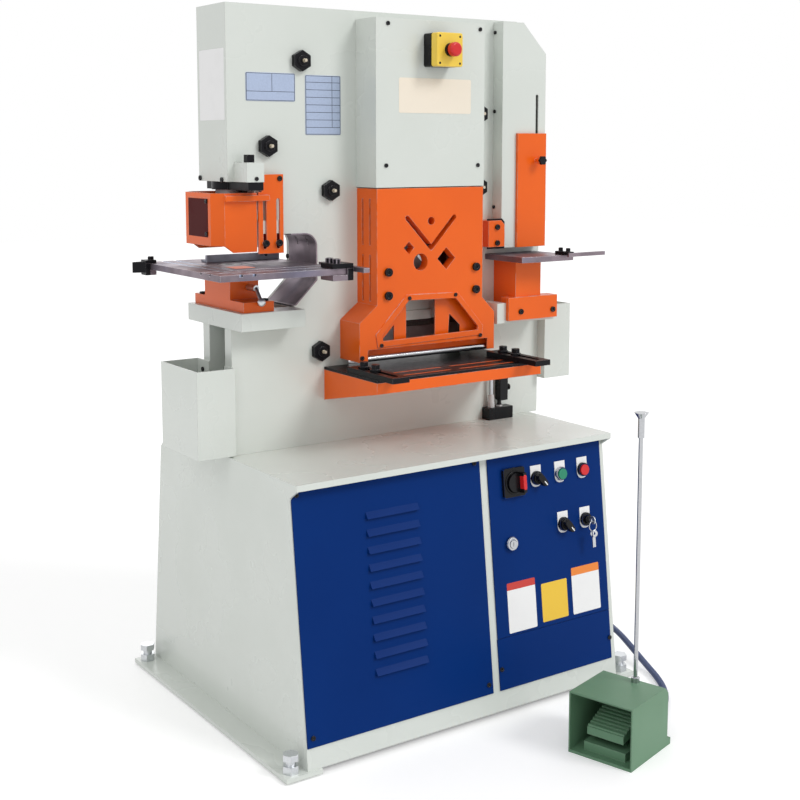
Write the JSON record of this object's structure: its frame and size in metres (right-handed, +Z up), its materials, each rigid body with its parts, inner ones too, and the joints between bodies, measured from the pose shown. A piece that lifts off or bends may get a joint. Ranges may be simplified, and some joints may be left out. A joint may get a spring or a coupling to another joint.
{
  "type": "ironworker machine",
  "caption": "Hydraulic ironworker with punch station, angle and bar shears, notcher, louvred cabinet, control door and guarded foot switch on a conduit.",
  "frame": {"origin": "on the floor, midway between the ends of the four levelling screws", "axes": "+Z up; +X to the right along the front, as the operator faces the machine; +Y to the back"},
  "size_m": [1.0998, 1.079, 1.533],
  "materials": {
    "frame_paint": "semi-gloss powder coat",
    "guard_paint": "gloss enamel",
    "panel_paint": "gloss enamel",
    "table_steel": "ground and oiled",
    "tool_steel": "ground",
    "black_steel": "black oxide",
    "zinc": "zinc plated",
    "chromed": "polished",
    "cast_iron": "as machined",
    "motor_paint": "satin",
    "black_plastic": "moulded",
    "red_plastic": "moulded",
    "green_plastic": "moulded",
    "yellow_plastic": "moulded",
    "foot_green": "semi-gloss",
    "conduit": "corrugated"
  },
  "bodies": {
    "machine": {"cabinet": "frame_paint", "levelling_screws": "zinc", "louvre_panel": "panel_paint", "lower_cover": "panel_paint", "oil_tank": "motor_paint", "pump_motor": "motor_paint", "switch_gear": "zinc", "front_frame_plate": "frame_paint", "rear_frame_plate": "frame_paint", "throat_liner": "table_steel", "gib_screws": "black_steel", "hydraulic_cylinder": "cast_iron", "fixed_section_blade": "tool_steel", "lower_shear_blade": "tool_steel", "head_cover": "frame_paint", "rear_cover": "frame_paint", "shear_guard": "guard_paint", "hold_down_bar": "chromed", "shear_support": "guard_paint", "shear_support_top": "black_steel", "die_ledge": "frame_paint", "die_holder": "guard_paint", "punch_die": "tool_steel", "punch_table": "table_steel", "ram_guide": "black_steel", "notch_box": "frame_paint", "notch_table": "table_steel", "notch_base": "guard_paint", "left_slug_box": "frame_paint", "right_slug_box": "frame_paint", "limit_switch": "black_plastic", "estop_box": "yellow_plastic", "foot_switch_housing": "foot_green", "foot_switch_rod": "chromed", "foot_switch_cable": "conduit"},
    "crosshead": {"crosshead_beam": "cast_iron", "piston_rod": "chromed", "moving_section_blade": "tool_steel", "upper_shear_blade": "tool_steel", "punch_ram": "tool_steel", "punch": "tool_steel", "notch_punch": "tool_steel"},
    "control_door": {"control_door": "panel_paint"},
    "start_button": {"start_button": "green_plastic"},
    "stop_button": {"stop_button": "red_plastic"},
    "left_selector": {"left_selector": "black_plastic"},
    "lower_selector": {"lower_selector": "black_plastic"},
    "main_switch_handle": {"main_switch_handle": "black_plastic"},
    "switch_key": {"switch_key": "zinc"},
    "door_lock": {"door_lock": "chromed"},
    "estop_button": {"estop_button": "red_plastic"},
    "foot_pedal": {"foot_pedal": "foot_green"},
    "clamp_lever": {"clamp_lever": "zinc"},
    "stripper": {"stripper_box": "guard_paint"},
    "notch_cover": {"notch_cover": "guard_paint"},
    "left_guide": {"left_guide": "black_steel"},
    "right_guide": {"right_guide": "black_steel"},
    "rear_fence": {"rear_fence": "table_steel"},
    "right_stop": {"right_stop": "table_steel"},
    "left_stop": {"left_stop": "table_steel"}
  },
  "joints": [
    {"name": "crosshead_stroke", "type": "slide", "parent": "machine", "child": "crosshead", "axis": [0, 0, -1], "range_m": [0, 0.055]},
    {"name": "door_hinge", "type": "hinge", "parent": "machine", "child": "control_door", "pos_m": [0.404, -0.33461, 0.30037], "axis": [0, 0.1131, 0.9936], "range_deg": [0, 110]},
    {"name": "start_press", "type": "slide", "parent": "control_door", "child": "start_button", "axis": [0, 0.9936, -0.1131], "range_m": [0, 0.004], "stiffness_N_per_m": 400},
    {"name": "stop_press", "type": "slide", "parent": "control_door", "child": "stop_button", "axis": [0, 0.9936, -0.1131], "range_m": [0, 0.004], "stiffness_N_per_m": 400},
    {"name": "left_selector_turn", "type": "hinge", "parent": "control_door", "child": "left_selector", "pos_m": [0.208, -0.30799, 0.505], "axis": [0, -0.9936, 0.1131], "range_deg": [-45, 45]},
    {"name": "lower_selector_turn", "type": "hinge", "parent": "control_door", "child": "lower_selector", "pos_m": [0.278, -0.32108, 0.39], "axis": [0, -0.9936, 0.1131], "range_deg": [-45, 45]},
    {"name": "main_switch_turn", "type": "hinge", "parent": "control_door", "child": "main_switch_handle", "pos_m": [0.141, -0.30811, 0.504], "axis": [0, -0.9936, 0.1131], "range_deg": [-90, 0]},
    {"name": "key_turn", "type": "hinge", "parent": "control_door", "child": "switch_key", "pos_m": [0.348, -0.32108, 0.39], "axis": [0, -0.9936, 0.1131], "range_deg": [0, 45]},
    {"name": "lock_turn", "type": "hinge", "parent": "control_door", "child": "door_lock", "pos_m": [0.126, -0.32325, 0.371], "axis": [0, -0.9936, 0.1131], "range_deg": [0, 90]},
    {"name": "estop_press", "type": "slide", "parent": "machine", "child": "estop_button", "axis": [0, 1, 0], "range_m": [0, 0.005]},
    {"name": "pedal_press", "type": "hinge", "parent": "machine", "child": "foot_pedal", "pos_m": [0.22104, -0.60555, 0.066], "axis": [0.2823, -0.9593, 0], "range_deg": [0, 8], "stiffness_Nm_per_rad": 6, "springref_deg": -28.65},
    {"name": "clamp_lever_turn", "type": "hinge", "parent": "machine", "child": "clamp_lever", "pos_m": [-0.354, -0.024, 0.942], "axis": [0, 1, 0], "range_deg": [-60, 60]},
    {"name": "stripper_height", "type": "slide", "parent": "machine", "child": "stripper", "axis": [0, 0, 1], "range_m": [-0.01, 0.004]},
    {"name": "notch_cover_lift", "type": "slide", "parent": "machine", "child": "notch_cover", "axis": [0, 0, 1], "range_m": [0, 0.08]},
    {"name": "left_guide_slide", "type": "slide", "parent": "machine", "child": "left_guide", "axis": [0, 1, 0], "range_m": [-0.012, 0.05]},
    {"name": "right_guide_slide", "type": "slide", "parent": "machine", "child": "right_guide", "axis": [0, 1, 0], "range_m": [-0.012, 0.05]},
    {"name": "rear_fence_slide", "type": "slide", "parent": "machine", "child": "rear_fence", "axis": [0, 1, 0], "range_m": [-0.03, 0.05]},
    {"name": "right_stop_slide", "type": "slide", "parent": "machine", "child": "right_stop", "axis": [0, 1, 0], "range_m": [-0.04, 0.012]},
    {"name": "left_stop_slide", "type": "slide", "parent": "machine", "child": "left_stop", "axis": [0, 1, 0], "range_m": [-0.2, 0.005]}
  ]
}
